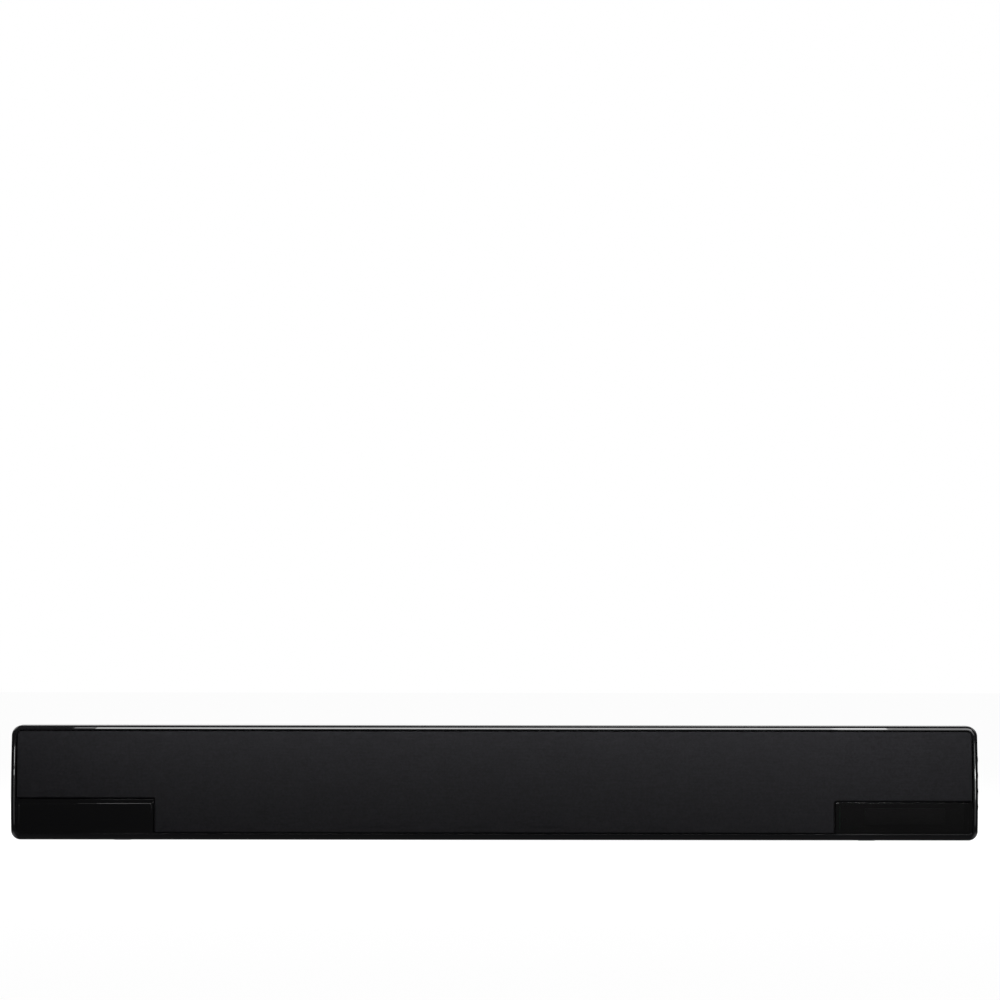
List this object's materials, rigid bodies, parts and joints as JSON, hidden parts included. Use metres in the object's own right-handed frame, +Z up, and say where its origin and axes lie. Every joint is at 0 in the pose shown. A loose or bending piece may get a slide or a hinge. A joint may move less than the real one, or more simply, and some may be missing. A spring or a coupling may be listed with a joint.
{
  "type": "soundbar",
  "caption": "Long slim bar-shaped speaker: rounded gloss frame round a cloth grille, lower corner plates, end buttons, rear ports, connector bay and hangers.",
  "frame": {"origin": "bottom centre of the whole part's box, on the plane its feet stand on", "axes": "+X towards the right-hand end seen from the front, where the buttons are; -Y out of the front grille; +Y out of the back; +Z up"},
  "size_m": [1.0274, 0.1, 0.1222],
  "materials": {
    "gloss_black": "high gloss, injection moulded",
    "satin_black": "fine spark texture",
    "smoked_window": "smoked acrylic, polished",
    "inner_plastic": "plain moulded",
    "display_parts": "dark filter over a segment display",
    "grille_fabric": "fine plain-weave speaker cloth, acoustically open",
    "driver_steel": "black electrocoated pressed steel",
    "ferrite": "ground ferrite and zinc-plated iron",
    "soft_rubber": "soft rubber",
    "cone_paper": "coated pressed paper",
    "dome_silk": "doped silk",
    "zinc_steel": "zinc plated",
    "foot_rubber": "moulded rubber",
    "socket_black": "moulded thermoplastic",
    "board_tan": "paper laminate board",
    "board_green": "green solder mask",
    "transformer_core": "laminated ferrite core with yellow tape",
    "capacitor_sleeve": "aluminium can in a black sleeve",
    "heat_sink_aluminium": "extruded, natural",
    "lead_jacket": "soft insulation",
    "screw_black": "black oxide",
    "brass_insert": "knurled, turned",
    "bright_nickel": "nickel plate"
  },
  "bodies": {
    "cabinet": {"front_frame": "gloss_black", "left_end_cap": "gloss_black", "right_end_cap": "gloss_black", "left_corner_plate": "gloss_black", "rear_shell": "satin_black", "terminal_plate": "satin_black", "reflex_port_left": "satin_black", "reflex_port_right": "satin_black", "display_window": "smoked_window", "baffle": "inner_plastic", "display_module": "display_parts", "woofer_1_basket": "driver_steel", "woofer_1_magnet": "ferrite", "woofer_1_surround": "soft_rubber", "woofer_2_basket": "driver_steel", "woofer_2_magnet": "ferrite", "woofer_2_surround": "soft_rubber", "woofer_3_basket": "driver_steel", "woofer_3_magnet": "ferrite", "woofer_3_surround": "soft_rubber", "woofer_4_basket": "driver_steel", "woofer_4_magnet": "ferrite", "woofer_4_surround": "soft_rubber", "tweeter_left_body": "inner_plastic", "tweeter_left_dome": "dome_silk", "tweeter_right_body": "inner_plastic", "tweeter_right_dome": "dome_silk", "keyhole_hanger_left": "zinc_steel", "keyhole_hanger_right": "zinc_steel", "foot_left": "foot_rubber", "foot_right": "foot_rubber", "mains_inlet": "socket_black", "optical_socket": "socket_black", "aux_jack_block": "socket_black", "sub_out_jack": "socket_black", "power_board": "board_tan", "amplifier_board": "board_green", "button_board": "board_green", "transformer": "transformer_core", "reservoir_capacitor": "capacitor_sleeve", "heat_sink": "heat_sink_aluminium", "speaker_lead_left": "lead_jacket", "speaker_lead_right": "lead_jacket", "display_lead": "lead_jacket", "case_screw_1": "screw_black", "case_screw_2": "screw_black", "case_screw_3": "screw_black", "case_screw_4": "screw_black", "case_screw_5": "screw_black", "case_screw_6": "screw_black"},
    "grille": {"grille_frame": "inner_plastic", "grille_cloth": "grille_fabric"},
    "button_power": {"button_power": "gloss_black"},
    "button_source": {"button_source": "gloss_black"},
    "button_volume_up": {"button_volume_up": "gloss_black"},
    "button_volume_down": {"button_volume_down": "gloss_black"},
    "woofer_1_cone": {"woofer_1_cone": "cone_paper"},
    "woofer_2_cone": {"woofer_2_cone": "cone_paper"},
    "woofer_3_cone": {"woofer_3_cone": "cone_paper"},
    "woofer_4_cone": {"woofer_4_cone": "cone_paper"}
  },
  "joints": [
    {"name": "grille_pull", "type": "slide", "parent": "cabinet", "child": "grille", "axis": [0, -1, 0], "range_m": [0, 0.04]},
    {"name": "button_power_press", "type": "slide", "parent": "cabinet", "child": "button_power", "axis": [-1, 0, 0], "range_m": [0, 0.001], "stiffness_N_per_m": 1800},
    {"name": "button_source_press", "type": "slide", "parent": "cabinet", "child": "button_source", "axis": [-1, 0, 0], "range_m": [0, 0.001], "stiffness_N_per_m": 1800},
    {"name": "button_volume_up_press", "type": "slide", "parent": "cabinet", "child": "button_volume_up", "axis": [-1, 0, 0], "range_m": [0, 0.001], "stiffness_N_per_m": 1800},
    {"name": "button_volume_down_press", "type": "slide", "parent": "cabinet", "child": "button_volume_down", "axis": [-1, 0, 0], "range_m": [0, 0.001], "stiffness_N_per_m": 1800},
    {"name": "woofer_1_travel", "type": "slide", "parent": "cabinet", "child": "woofer_1_cone", "axis": [0, -1, 0], "range_m": [-0.003, 0.003], "stiffness_N_per_m": 1500},
    {"name": "woofer_2_travel", "type": "slide", "parent": "cabinet", "child": "woofer_2_cone", "axis": [0, -1, 0], "range_m": [-0.003, 0.003], "stiffness_N_per_m": 1500},
    {"name": "woofer_3_travel", "type": "slide", "parent": "cabinet", "child": "woofer_3_cone", "axis": [0, -1, 0], "range_m": [-0.003, 0.003], "stiffness_N_per_m": 1500},
    {"name": "woofer_4_travel", "type": "slide", "parent": "cabinet", "child": "woofer_4_cone", "axis": [0, -1, 0], "range_m": [-0.003, 0.003], "stiffness_N_per_m": 1500}
  ]
}
